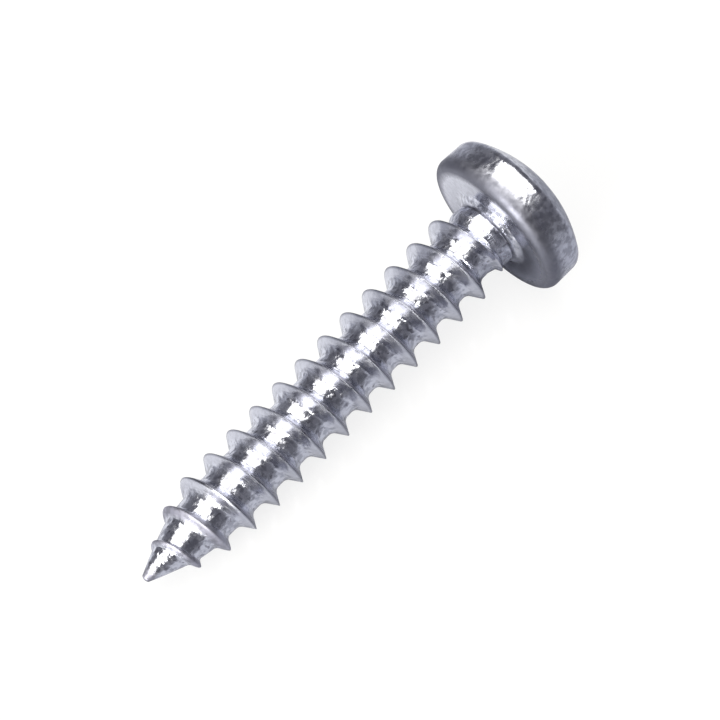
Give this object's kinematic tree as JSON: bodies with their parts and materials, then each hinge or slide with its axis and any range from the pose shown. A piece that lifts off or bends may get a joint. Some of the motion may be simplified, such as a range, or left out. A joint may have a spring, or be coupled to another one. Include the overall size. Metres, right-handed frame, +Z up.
{
  "type": "tapping screw",
  "caption": "Zinc-plated pan head tapping screw with a gimlet point, a coarse right-hand thread and a cross recess, lying on its side.",
  "frame": {"origin": "on the surface that the screw lies on, under the middle of its bounding box", "axes": "+X along the screw towards its head, +Z up; the screw's own axis rises about 6 degrees towards the head"},
  "size_m": [0.0218, 0.0066, 0.0066],
  "materials": {
    "zinc_plated_steel": "bright zinc plate, slightly mottled"
  },
  "bodies": {
    "root": {"screw": "zinc_plated_steel"}
  },
  "joints": []
}
